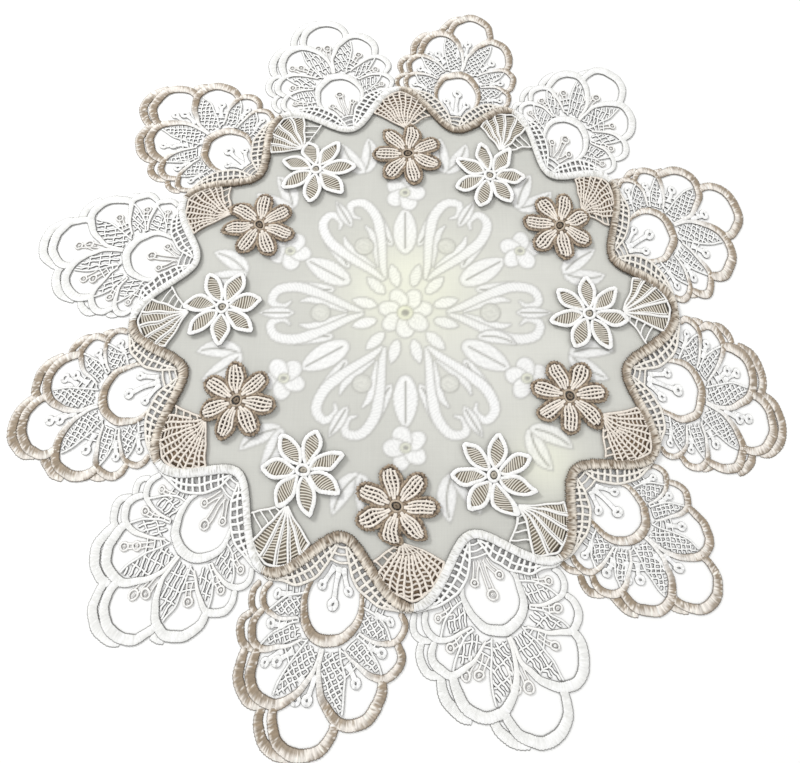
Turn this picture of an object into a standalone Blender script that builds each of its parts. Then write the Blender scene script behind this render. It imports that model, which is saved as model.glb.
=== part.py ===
"""Round lace placemat: a sheer figured organza ground edged with twelve
guipure scallops (in white or taupe thread) and dressed with twelve
fan-and-flower motifs.

It lies flat.  Z = 0 is the surface it rests on, the origin is the middle of
the underside.  Every motif is drawn in its own local frame, +Y pointing
radially outward, and is then turned about Z to its place.
"""

from collections import namedtuple
from math import atan2, cos, degrees, hypot, pi, radians, sin

import bmesh
import bpy
from mathutils import Matrix, Vector

MM = 0.001

# ---------------------------------------------------------------- sizes, mm
LOBES = 12                    # scallops round the edge
PITCH = 2.0 * pi / LOBES      # angle from one scallop to the next

BRAID_VALLEY_R = 113.0        # wavy braid, centre line, nearest the middle
BRAID_TIP_R = 138.6           # the same, at the tips between two scallops
BRAID_HALF_WIDTH = 1.9
ARC_STEPS = 10                # straight pieces in one wave of the braid

CLOTH_Z = (0.0, 1.0)          # organza ground
LACE_Z = (0.0, 1.5)           # scallop, beside the ground
BRAID_Z = (1.3, 2.8)          # braid, over the ground's cut edge
FAN_Z = (1.3, 2.5)            # ribbed fan, on the ground
FLOWER_Z = (1.3, 3.3)         # flower, raised above its fan
GAP = 0.3                     # kept between neighbouring pieces

RING_R = 141.4                # radius on which the scallops are centred
UNDER_SHIFT = 5.5             # sideways step of the under row of loops
OUTLINE_STEPS = 44            # pieces in the lobed edge of a scallop
OUTLINE_REACH = radians(98)   # how far round its centre that edge goes

# Satin loops of a scallop: direction from the scallop's axis, distance of
# the loop's centre from the scallop's centre, and outer radius.
Loop = namedtuple("Loop", "name angle_deg distance radius")
LOOPS = [
    Loop("large", 0.0, 42.0, 15.7),
    Loop("medium", 32.6, 35.3, 12.9),
    Loop("small", 63.4, 31.2, 8.6),
    Loop("tiny", 87.2, 28.4, 6.7),
]

# The arched hole inside the satin ring.
RING_HOLE_RADIUS = 11.8
RING_HOLE_R = 139.8           # where the arch is centred
RING_HOLE_FOOT_R = 124.6      # where it closes to a point
RING_HOLE_DROP = 6.2          # its sides turn in this far below the centre
RING_HOLE_STEPS = 18

# The hole inside the large loop: an arch closed by two slanting sides.
LOOP_HOLE_RADIUS = 11.0
LOOP_HOLE_R = 183.4
LOOP_HOLE_FOOT_R = 170.5
LOOP_HOLE_DROP = 1.0
LOOP_HOLE_STEPS = 16

# One petal, from the notch between two petals out to the point.
PetalRow = namedtuple("PetalRow", "radius half_width")
PETAL = [
    PetalRow(8.8, 3.9),
    PetalRow(12.6, 4.3),
    PetalRow(16.2, 2.3),
    PetalRow(18.6, 0.0),
]
PETALS = 7
FIRST_PETAL = radians(78)     # from local +X
FLOWER_R = 93.0               # radius on which the flowers are centred
FLOWER_EYE_RADIUS = 1.5       # hole in the middle of the flower
FLOWER_EYE_STEPS = 8

# Leaves of the fan: direction from its axis and length from its foot.
Leaf = namedtuple("Leaf", "angle_deg length")
FAN = [
    Leaf(-54, 19.0),
    Leaf(-27, 21.5),
    Leaf(0, 25.2),
    Leaf(27, 21.5),
    Leaf(54, 19.0),
]
FAN_FOOT_R = 110.0
FAN_FOOT_HALF_WIDTH = 3.4
FAN_NOTCH = 0.86              # depth of the notch between two leaves

# Thread colours round the mat, by the angle of each motif in degrees.
WHITE_SCALLOPS = (-135, -75, 15 + 30, 105, 165)
TAUPE_SCALLOPS = (-165, -105, -45, -15, 15, 75, 135)
TURNED_SCALLOP = -15          # its under row steps the other way
WHITE_BLOSSOMS = (-120, -60, 0, 60, 120, 180)
TAUPE_BLOSSOMS = (-150, -90, -30, 30, 90, 150)

# The mat is limp and doesn't lie quite evenly.  For each scallop, from the
# one at 15 degrees on: its turn about the middle (degrees) and its step
# outward (mm), and at a radius of 200 mm the extra reach (mm) and extra turn
# (degrees) of its loops.
Lie = namedtuple("Lie", "turned out reach swing")
LIE_FIRST_DEG = 15.0
LIE = [
    Lie(4.2, -5.0, -5.7, 0.5),
    Lie(4.5, -5.5, -4.1, 1.5),
    Lie(2.6, -5.2, -1.8, 0.0),
    Lie(0.6, -3.5, -5.7, -0.5),
    Lie(0.5, -5.2, -1.7, 0.7),
    Lie(1.5, -5.2, -3.5, 0.7),
    Lie(2.6, 1.0, -3.9, 1.3),
    Lie(3.9, -0.2, 2.6, 0.4),
    Lie(2.0, 3.3, 5.1, -0.5),
    Lie(1.0, 0.6, 6.1, 1.5),
    Lie(-0.3, -1.2, -1.0, 0.3),
    Lie(-2.2, -1.0, -9.7, -2.5),
]
LIE_FROM_R, LIE_FULL_R, LIE_FAR_R = 92.0, 150.0, 140.0
# How far each flower sits off its even place: turn (degrees), outward (mm).
NUDGES = {
    180: (-1.5, -0.7), -150: (-0.6, 0.8), -120: (-1.1, 0.3), -90: (-2.6, 3.7),
    -60: (-3.6, -1.0), -30: (1.0, -2.3), 0: (-0.6, -0.5), 30: (0.8, 1.5),
    60: (0.0, -2.1), 90: (-1.1, -0.8), 120: (0.1, 2.4), 150: (-2.6, -2.5),
}
NUDGE_FULL_R, NUDGE_NONE_R = 104.0, 118.0

# Colour (linear RGB), roughness, metallic.
ORGANZA = ((0.62, 0.63, 0.59), 0.75, 0.0)
WHITE_THREAD = ((0.88, 0.88, 0.85), 0.62, 0.0)
TAUPE_THREAD = ((0.42, 0.31, 0.22), 0.60, 0.0)


# ------------------------------------------------------------- small helpers
def clear_scene():
    for obj in list(bpy.data.objects):
        bpy.data.objects.remove(obj, do_unlink=True)


def collection(name, hidden=False):
    made = bpy.data.collections.new(name)
    made.hide_render = hidden
    bpy.context.scene.collection.children.link(made)
    return made


def material(name, colour, roughness, metallic):
    made = bpy.data.materials.new(name)
    made.use_nodes = True
    shader = made.node_tree.nodes["Principled BSDF"]
    shader.inputs["Base Color"].default_value = (*colour, 1.0)
    shader.inputs["Roughness"].default_value = roughness
    shader.inputs["Metallic"].default_value = metallic
    made.diffuse_color = (*colour, 1.0)
    return made


def slab(name, outlines, z_range):
    """A flat piece of the given outlines; the inner ones are its holes."""
    low, high = z_range
    curve = bpy.data.curves.new(name, "CURVE")
    curve.dimensions = "2D"
    curve.fill_mode = "BOTH"
    curve.extrude = (high - low) / 2 * MM
    for points in outlines:
        spline = curve.splines.new("POLY")
        spline.points.add(len(points) - 1)
        for target, point in zip(spline.points, points):
            target.co = (point[0] * MM, point[1] * MM, 0.0, 1.0)
        spline.use_cyclic_u = True
    carrier = bpy.data.objects.new(name, curve)
    bpy.context.scene.collection.objects.link(carrier)
    bpy.context.view_layer.update()
    graph = bpy.context.evaluated_depsgraph_get()
    mesh = bpy.data.meshes.new_from_object(carrier.evaluated_get(graph))
    bpy.data.objects.remove(carrier, do_unlink=True)
    shape = bmesh.new()
    shape.from_mesh(mesh)
    bmesh.ops.remove_doubles(shape, verts=shape.verts, dist=2e-6)
    bmesh.ops.translate(
        shape, verts=shape.verts, vec=(0.0, 0.0, (low + high) / 2 * MM)
    )
    bmesh.ops.recalc_face_normals(shape, faces=shape.faces)
    shape.to_mesh(mesh)
    shape.free()
    mesh.name = name
    return mesh


def joined(name, first, second):
    """The union of two overlapping meshes, as one mesh."""
    base = bpy.data.objects.new(name + "_base", first)
    extra = bpy.data.objects.new(name + "_extra", second)
    for obj in (base, extra):
        cutters.objects.link(obj)
        obj.display_type = "WIRE"
        obj.hide_render = True
    union = base.modifiers.new("union", "BOOLEAN")
    union.operation = "UNION"
    union.solver = "EXACT"
    union.object = extra
    bpy.context.view_layer.update()
    graph = bpy.context.evaluated_depsgraph_get()
    mesh = bpy.data.meshes.new_from_object(base.evaluated_get(graph))
    for obj in (base, extra):
        bpy.data.objects.remove(obj, do_unlink=True)
    shape = bmesh.new()
    shape.from_mesh(mesh)
    bmesh.ops.dissolve_limit(
        shape, angle_limit=radians(0.2), verts=shape.verts, edges=shape.edges
    )
    bmesh.ops.triangulate(shape, faces=shape.faces)
    shape.to_mesh(mesh)
    shape.free()
    mesh.name = name
    return mesh


def smooth_step(low, high, value):
    share = min(max((value - low) / (high - low), 0.0), 1.0)
    return share * share * (3.0 - 2.0 * share)


def lie_at(turn_deg):
    """How the lace lies in this direction, eased between the scallops."""
    place_in_row = (turn_deg - LIE_FIRST_DEG) / 30.0
    index = int(place_in_row // 1)
    share = place_in_row - index
    before, here, after, beyond = (
        LIE[(index + step) % LOBES] for step in (-1, 0, 1, 2)
    )
    return [
        0.5
        * (
            2 * b
            + (c - a) * share
            + (2 * a - 5 * b + 4 * c - d) * share**2
            + (3 * b - a - 3 * c + d) * share**3
        )
        for a, b, c, d in zip(before, here, after, beyond)
    ]


def lie(point, nudge=(0.0, 0.0)):
    """A point of the evenly spaced pattern as it lies on the table, mm.
    `nudge` turns (degrees) and moves outward (mm) a flower on its own."""
    radius = hypot(point[0], point[1])
    if radius < 1e-9:
        return point[0], point[1]
    turn_deg = degrees(atan2(point[1], point[0]))
    turned, out, reach, swing = lie_at(turn_deg)
    near = smooth_step(LIE_FROM_R, LIE_FULL_R, radius)
    far = max(radius - LIE_FAR_R, 0.0) / (200.0 - LIE_FAR_R)
    own = 1.0 - smooth_step(NUDGE_FULL_R, NUDGE_NONE_R, radius)
    radius += out * near + reach * far + nudge[1] * own
    turn = radians(turn_deg + turned * near + swing * far + nudge[0] * own)
    return radius * cos(turn), radius * sin(turn)


def laid(mesh, angle=pi / 2, nudge=(0.0, 0.0)):
    """Turn a motif drawn with +Y outward to its place, and lay it down."""
    shape = bmesh.new()
    shape.from_mesh(mesh)
    bmesh.ops.rotate(
        shape,
        verts=shape.verts,
        cent=(0.0, 0.0, 0.0),
        matrix=Matrix.Rotation(angle - pi / 2, 3, "Z"),
    )
    for vert in shape.verts:
        at = lie((vert.co.x / MM, vert.co.y / MM), nudge)
        vert.co.x, vert.co.y = at[0] * MM, at[1] * MM
    shape.to_mesh(mesh)
    shape.free()
    return mesh


def place(name, mesh, finish, angle, nudge=(0.0, 0.0)):
    """Put a motif drawn with +Y outward at an angle round the mat."""
    own = laid(mesh.copy(), angle, nudge)
    own.name = name
    obj = bpy.data.objects.new(name, own)
    parts.objects.link(obj)
    if not own.materials:
        own.materials.append(finish)
    return obj


# ------------------------------------------------------------------ outlines
def braid_point(turn, offset=0.0):
    """A point of the wavy braid, `turn` from a scallop's axis (+Y), moved
    outward by `offset` square to the braid."""
    middle = (BRAID_TIP_R + BRAID_VALLEY_R) / 2
    swing = (BRAID_TIP_R - BRAID_VALLEY_R) / 2
    radius = middle - swing * cos(LOBES * turn)
    slope = swing * LOBES * sin(LOBES * turn)
    outward = Vector((sin(turn), cos(turn)))
    along = Vector((cos(turn), -sin(turn)))
    square = (outward * radius - along * slope).normalized()
    return outward * radius + square * offset


def braid_run(offset, end):
    """The braid of one scallop, from one tip to the next, sampled at the
    same turns whatever the offset."""
    return [
        braid_point(-end + 2 * end * step / ARC_STEPS, offset)
        for step in range(ARC_STEPS + 1)
    ]


def to_circle(start, heading, centre, radius):
    """Distance from `start` along `heading` to the far side of a circle."""
    offset = centre - start
    along = offset.dot(heading)
    square = radius**2 - (offset.length_squared - along**2)
    return along + square**0.5 if square > 0 else 0.0


def to_line(start, heading, point, normal):
    """Distance to a line that `heading` runs toward, or a long way."""
    speed = heading.dot(normal)
    return (point - start).dot(normal) / speed if speed > 1e-6 else 1e3


def loop_centres(shift):
    centre = Vector((0.0, RING_R))
    found = []
    for loop in LOOPS:
        for side in (-1, 1):
            turn = radians(loop.angle_deg) * side
            at = centre + loop.distance * Vector((sin(turn), cos(turn)))
            found.append((at, loop.radius))
            found.append((at + shift, loop.radius))
    return found


def lobed_edge(shift):
    """The outer edge of a scallop: the far side of its loops and of the
    under row, kept inside the scallop's share of the circle."""
    centre = Vector((0.0, RING_R))
    loops = loop_centres(shift)
    border = Vector((sin(PITCH / 2), cos(PITCH / 2)))
    side_normal = Vector((cos(PITCH / 2), -sin(PITCH / 2)))
    edge = []
    for step in range(OUTLINE_STEPS + 1):
        turn = OUTLINE_REACH * (2 * step / OUTLINE_STEPS - 1)
        heading = Vector((sin(turn), cos(turn)))
        reach = max(to_circle(centre, heading, at, r) for at, r in loops)
        for mirror in (-1, 1):
            normal = Vector((side_normal.x * mirror, side_normal.y))
            on_line = border * 150.0 - side_normal * (GAP / 2 + 0.02)
            point = Vector((on_line.x * mirror, on_line.y))
            reach = min(reach, to_line(centre, heading, point, normal))
        edge.append(centre + heading * reach)
    return edge


def arched_hole(centre_r, radius, foot_r, drop, steps, shift):
    """An arch closed to a point at its foot, less what the under row of
    thread covers when `shift` is not zero."""
    top = Vector((0.0, centre_r))
    foot = Vector((0.0, foot_r))
    corner = Vector((radius * 0.96, centre_r - drop))
    side = (corner - foot).normalized()
    normals = [Vector((side.y * s, -side.x)) for s in (-1, 1)]
    start = top + shift / 2 + Vector((0.0, -1.0))
    hole = []
    for step in range(steps):
        turn = 2 * pi * (step + 0.5) / steps
        heading = Vector((sin(turn), cos(turn)))
        reach = 1e3
        for move in (Vector((0.0, 0.0)), shift):
            reach = min(reach, to_circle(start, heading, top + move, radius))
            for normal in normals:
                reach = min(
                    reach, to_line(start, heading, foot + move, normal)
                )
        hole.append(start + heading * reach)
    return hole


def petal_outline():
    """Seven pointed petals round the flower's centre."""
    centre = Vector((0.0, FLOWER_R))
    edge = []
    for index in range(PETALS):
        turn = FIRST_PETAL + 2 * pi * index / PETALS
        out = Vector((cos(turn), sin(turn)))
        across = Vector((-sin(turn), cos(turn)))
        for row in PETAL:
            edge.append(centre + out * row.radius - across * row.half_width)
        for row in PETAL[-2::-1]:
            edge.append(centre + out * row.radius + across * row.half_width)
    return edge


def fan_outline():
    """Five leaves spread from a narrow foot."""
    foot = Vector((0.0, FAN_FOOT_R))
    half = radians(FAN[1].angle_deg - FAN[0].angle_deg) / 2
    edge = [Vector((-FAN_FOOT_HALF_WIDTH, FAN_FOOT_R - 6.0))]
    for index, leaf in enumerate(FAN):
        middle = radians(leaf.angle_deg)
        for turn, share in ((-0.55, 0.97), (0.0, 1.0), (0.55, 0.97)):
            at = middle + half * turn
            edge.append(foot + Vector((sin(at), cos(at))) * leaf.length * share)
        if index + 1 < len(FAN):
            at = middle + half
            depth = min(leaf.length, FAN[index + 1].length) * FAN_NOTCH
            edge.append(foot + Vector((sin(at), cos(at))) * depth)
    edge.append(Vector((FAN_FOOT_HALF_WIDTH, FAN_FOOT_R - 6.0)))
    return edge


# -------------------------------------------------------------------- pieces
def ground_mesh():
    """Sheer cloth cut along the middle of the braid, all round."""
    edge = []
    for lobe in range(LOBES):
        turn = Matrix.Rotation(PITCH * (lobe + 0.5), 2)
        run = braid_run(0.0, PITCH / 2)
        edge += [turn @ point for point in reversed(run[:-1])]
    return slab("ground", [edge], CLOTH_Z)


def scallop_mesh(name, angle_deg):
    """Guipure scallop with its arc of braid, as one piece of lace."""
    step = UNDER_SHIFT if angle_deg == TURNED_SCALLOP else -UNDER_SHIFT
    turn = radians(angle_deg) - pi / 2
    shift = Matrix.Rotation(-turn, 2) @ Vector((step, 0.0))
    end = PITCH / 2 - (GAP / 2 + 0.02) / BRAID_TIP_R
    inner = braid_run(GAP + 0.05, end)
    outline = lobed_edge(shift) + list(reversed(inner))
    no_shift = Vector((0.0, 0.0))
    ring = arched_hole(
        RING_HOLE_R,
        RING_HOLE_RADIUS,
        RING_HOLE_FOOT_R,
        RING_HOLE_DROP,
        RING_HOLE_STEPS,
        no_shift,
    )
    loop = arched_hole(
        LOOP_HOLE_R,
        LOOP_HOLE_RADIUS,
        LOOP_HOLE_FOOT_R,
        LOOP_HOLE_DROP,
        LOOP_HOLE_STEPS,
        shift,
    )
    lace = slab(name + "_lace", [outline, ring, loop], LACE_Z)
    band = braid_run(BRAID_HALF_WIDTH, end) + list(
        reversed(braid_run(-BRAID_HALF_WIDTH, end))
    )
    braid = slab(name + "_braid", [band], BRAID_Z)
    return joined(name, lace, braid)


def blossom_mesh(name):
    """Ribbed fan and raised flower, worked as one motif."""
    centre = Vector((0.0, FLOWER_R))
    eye = [
        centre
        + FLOWER_EYE_RADIUS
        * Vector((cos(2 * pi * k / FLOWER_EYE_STEPS), sin(2 * pi * k / FLOWER_EYE_STEPS)))
        for k in range(FLOWER_EYE_STEPS)
    ]
    flower = slab(name + "_flower", [petal_outline(), eye], FLOWER_Z)
    fan = slab(name + "_fan", [fan_outline()], FAN_Z)
    return joined(name, flower, fan)


# --------------------------------------------------------------------- build
clear_scene()
parts = collection("lace_placemat")
cutters = collection("cutters", hidden=True)
organza = material("organza", *ORGANZA)
white_thread = material("white_thread", *WHITE_THREAD)
taupe_thread = material("taupe_thread", *TAUPE_THREAD)

cloth = bpy.data.objects.new("ground", laid(ground_mesh()))
cloth.data.materials.append(organza)
parts.objects.link(cloth)

for finish, angles in (
    (white_thread, WHITE_SCALLOPS),
    (taupe_thread, TAUPE_SCALLOPS),
):
    for angle_deg in angles:
        name = "scallop_%03d" % (angle_deg % 360)
        place(name, scallop_mesh(name, angle_deg), finish, radians(angle_deg))

for colour, finish, angles in (
    ("white", white_thread, WHITE_BLOSSOMS),
    ("taupe", taupe_thread, TAUPE_BLOSSOMS),
):
    mesh = blossom_mesh("blossom_" + colour)
    for angle_deg in angles:
        name = "blossom_%03d" % (angle_deg % 360)
        place(
            name, mesh, finish, radians(angle_deg), NUDGES.get(angle_deg, (0.0, 0.0))
        )
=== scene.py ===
"""Looks of the round lace placemat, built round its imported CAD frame.

Every strand of thread is a real strand: satin bands, cords, net and picots
are swept along lines that are drawn here in millimetres, in the frame of one
motif (+Y outward, origin at the middle of the mat), and are then turned about
Z to their place.
"""

from math import cos, degrees, hypot, pi, radians, sin, sqrt

import bpy
import numpy as np
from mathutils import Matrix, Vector


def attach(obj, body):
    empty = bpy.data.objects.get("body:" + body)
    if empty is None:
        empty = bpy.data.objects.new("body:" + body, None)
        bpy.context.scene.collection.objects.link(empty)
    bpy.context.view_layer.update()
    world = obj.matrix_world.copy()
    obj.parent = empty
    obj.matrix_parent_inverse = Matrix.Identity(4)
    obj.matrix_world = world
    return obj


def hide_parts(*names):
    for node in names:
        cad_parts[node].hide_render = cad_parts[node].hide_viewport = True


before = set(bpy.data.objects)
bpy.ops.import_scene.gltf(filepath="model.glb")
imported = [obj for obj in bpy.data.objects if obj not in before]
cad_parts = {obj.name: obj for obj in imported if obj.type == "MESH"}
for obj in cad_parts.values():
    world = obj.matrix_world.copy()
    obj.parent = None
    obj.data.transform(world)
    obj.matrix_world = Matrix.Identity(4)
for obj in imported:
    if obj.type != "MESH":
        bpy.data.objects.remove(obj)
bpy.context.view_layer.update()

MM = 0.001
WHITE_SCALLOPS = (-135, -75, 45, 105, 165)
TAUPE_SCALLOPS = (-165, -105, -45, -15, 15, 75, 135)
TURNED_SCALLOP = -15
WHITE_BLOSSOMS = (-120, -60, 0, 60, 120, 180)
TAUPE_BLOSSOMS = (-150, -90, -30, 30, 90, 150)
LOBES = 12
BRAID_VALLEY_R, BRAID_TIP_R, BRAID_HALF_WIDTH = 113.0, 138.6, 1.9
UNDER_SHIFT = 5.5
FLOWER_R = 93.0
FAN_FOOT_R = 110.0

# The mat is limp and doesn't lie quite evenly.  For each scallop, from the
# one at 15 degrees on: its turn about the middle (degrees), its step outward
# (mm), and at a radius of 200 mm the extra reach (mm) and turn (degrees) of
# its loops.  The same as in the CAD.
LIE_FIRST_DEG = 15.0
LIE = np.array(
    [
        (4.2, -5.0, -5.7, 0.5),
        (4.5, -5.5, -4.1, 1.5),
        (2.6, -5.2, -1.8, 0.0),
        (0.6, -3.5, -5.7, -0.5),
        (0.5, -5.2, -1.7, 0.7),
        (1.5, -5.2, -3.5, 0.7),
        (2.6, 1.0, -3.9, 1.3),
        (3.9, -0.2, 2.6, 0.4),
        (2.0, 3.3, 5.1, -0.5),
        (1.0, 0.6, 6.1, 1.5),
        (-0.3, -1.2, -1.0, 0.3),
        (-2.2, -1.0, -9.7, -2.5),
    ]
)
LIE_FROM_R, LIE_FULL_R, LIE_FAR_R = 92.0, 150.0, 140.0
NUDGES = {
    180: (-1.5, -0.7), -150: (-0.6, 0.8), -120: (-1.1, 0.3), -90: (-2.6, 3.7),
    -60: (-3.6, -1.0), -30: (1.0, -2.3), 0: (-0.6, -0.5), 30: (0.8, 1.5),
    60: (0.0, -2.1), 90: (-1.1, -0.8), 120: (0.1, 2.4), 150: (-2.6, -2.5),
}
NUDGE_FULL_R, NUDGE_NONE_R = 104.0, 118.0

# Heights above the table, mm.  Thread is pressed flat where it rests.
RESTS_Z = 0.03
UNDER_Z, NET_Z, LACE_Z, BRAID_Z = 0.12, 0.26, 0.42, 1.40
CLOTH_Z = 0.50
FAN_Z, FLOWER_Z = 1.25, 1.75


def rgb(red, green, blue):
    """Linear colour of an sRGB one."""
    return np.array(
        [
            (c / 255 / 12.92) if c <= 10 else ((c / 255 + 0.055) / 1.055) ** 2.4
            for c in (red, green, blue)
        ]
    )


WHITE = rgb(252, 251, 248)
SNOW = rgb(254, 254, 252)
# The grey, pale, taupe and net line colours are painted shade on the sides and undersides of
# threads.
GREY_SIDE_SHADE = rgb(88, 86, 82)
PALE_SIDE_SHADE = rgb(112, 110, 106)
TAUPE = rgb(190, 174, 154)
TAUPE_DARK = rgb(148, 130, 108)
TAUPE_SIDE_SHADE = rgb(98, 84, 68)
CREAM = rgb(246, 237, 225)
BROWN = rgb(112, 84, 58)
SHADE_BROWN = rgb(62, 44, 30)
HUSK = rgb(204, 196, 180)
HUSK_DARK = rgb(134, 123, 104)
NET_SIDE_SHADE = rgb(58, 56, 53)


# ------------------------------------------------------------------- curves
def smooth_step(low, high, value):
    share = np.clip((value - low) / (high - low), 0.0, 1.0)
    return share * share * (3.0 - 2.0 * share)


def lie(points, nudge=(0.0, 0.0)):
    """Points of the evenly spaced pattern as they lie on the table.  nudge
    turns (degrees) and moves outward (mm) a flower on its own."""
    x, y = points[:, 0], points[:, 1]
    radius, turn = np.hypot(x, y), np.degrees(np.arctan2(y, x))
    row = (turn - LIE_FIRST_DEG) / 30.0
    index = np.floor(row).astype(int)
    share = (row - index)[:, None]
    a, b, c, d = (LIE[(index + step) % LOBES] for step in (-1, 0, 1, 2))
    turned, out, reach, swing = (
        0.5
        * (
            2 * b
            + (c - a) * share
            + (2 * a - 5 * b + 4 * c - d) * share**2
            + (3 * b - a - 3 * c + d) * share**3
        )
    ).T
    near = smooth_step(LIE_FROM_R, LIE_FULL_R, radius)
    far = np.maximum(radius - LIE_FAR_R, 0.0) / (200.0 - LIE_FAR_R)
    own = 1.0 - smooth_step(NUDGE_FULL_R, NUDGE_NONE_R, radius)
    radius = radius + out * near + reach * far + nudge[1] * own
    turn = np.radians(turn + turned * near + swing * far + nudge[0] * own)
    made = np.array(points, float)
    made[:, 0], made[:, 1] = radius * np.cos(turn), radius * np.sin(turn)
    return made


def spline(rows, step, closed=False):
    """A smooth line through the rows at even steps of its length in plan,
    with any further columns carried along, and the length so far."""
    rows = np.asarray(rows, float)
    if closed:
        padded = np.vstack([rows[-1:], rows, rows[:2]])
    else:
        padded = np.vstack([2 * rows[:1] - rows[1:2], rows, 2 * rows[-1:] - rows[-2:-1]])
    t = np.linspace(0, 1, 12, endpoint=False)[:, None]
    parts = []
    for a, b, c, d in zip(padded, padded[1:], padded[2:], padded[3:]):
        parts.append(
            0.5
            * (
                2 * b
                + (c - a) * t
                + (2 * a - 5 * b + 4 * c - d) * t**2
                + (3 * b - a - 3 * c + d) * t**3
            )
        )
    dense = np.vstack(parts + [padded[1:2] if closed else rows[-1:]])
    length = np.concatenate(
        [[0.0], np.cumsum(np.hypot(*np.diff(dense[:, :2], axis=0).T))]
    )
    count = max(2, int(round(length[-1] / step)))
    at = np.linspace(0, length[-1], count + 1)
    if closed:
        at = at[:-1]
    return np.column_stack([np.interp(at, length, col) for col in dense.T]), at


def straight(rows, step):
    """The same, with straight runs between the rows."""
    rows = np.asarray(rows, float)
    length = np.concatenate(
        [[0.0], np.cumsum(np.hypot(*np.diff(rows[:, :2], axis=0).T))]
    )
    count = max(1, int(round(length[-1] / step)))
    at = np.linspace(0, length[-1], count + 1)
    return np.column_stack([np.interp(at, length, col) for col in rows.T]), at


def mirrored(points, side):
    """Points with x turned over when side is -1."""
    made = np.array(points, float)
    made[:, 0] *= side
    return made


def arc(centre, rx, ry, start_deg, end_deg, steps):
    """Points of an ellipse, by angle from +Y, clockwise."""
    turn = np.radians(np.linspace(start_deg, end_deg, steps))
    return np.column_stack(
        [centre[0] + rx * np.sin(turn), centre[1] + ry * np.cos(turn)]
    )


def inside(polygon, points):
    """Which points lie in the polygon."""
    found = np.zeros(len(points), bool)
    x, y = points[:, 0], points[:, 1]
    for a, b in zip(polygon, np.roll(polygon, -1, axis=0)):
        crosses = (a[1] > y) != (b[1] > y)
        with np.errstate(divide="ignore", invalid="ignore"):
            where = (b[0] - a[0]) * (y - a[1]) / (b[1] - a[1]) + a[0]
        found ^= crosses & (x < where)
    return found


def runs_across(polygon, heading_deg, spacing, offset=0.0):
    """Straight runs across a polygon, side by side at the spacing."""
    polygon = np.asarray(polygon, float)
    h = radians(heading_deg)
    along, across = np.array([cos(h), sin(h)]), np.array([-sin(h), cos(h)])
    reach = polygon @ across
    found = []
    level = np.floor(reach.min() / spacing) * spacing + offset
    while level < reach.max():
        hits = []
        for a, b in zip(polygon, np.roll(polygon, -1, axis=0)):
            da, db = a @ across - level, b @ across - level
            if (da > 0) != (db > 0):
                hits.append((a + (b - a) * da / (da - db)) @ along)
        hits.sort()
        for first, last in zip(hits[::2], hits[1::2]):
            if last - first > 0.5 * spacing:
                found.append(
                    (along * first + across * level, along * last + across * level)
                )
        level += spacing
    return found


# ------------------------------------------------------------------ strands
BAND_SECTION = np.array(
    [
        (-1.0, 0.0),
        (-0.9, 0.42),
        (-0.8, 0.74),
        (-0.3, 0.98),
        (0.3, 0.98),
        (0.8, 0.74),
        (0.9, 0.42),
        (1.0, 0.0),
        (0.0, -0.25),
    ]
)
CORD_SECTION = np.array(
    [(cos(a), sin(a)) for a in np.radians([180, 126, 90, 54, 0, -60, -120])]
)
NET_SECTION = np.array(
    [(-1.0, 0.0), (-0.64, 0.55), (-0.54, 0.8), (0.54, 0.8), (0.64, 0.55), (1.0, 0.0),
     (0.0, -0.7)]
)
THREAD_SECTION = np.array(
    [(-1.0, 0.0), (-0.5, 0.75), (0.5, 0.75), (1.0, 0.0), (0.0, -0.7)]
)


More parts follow.
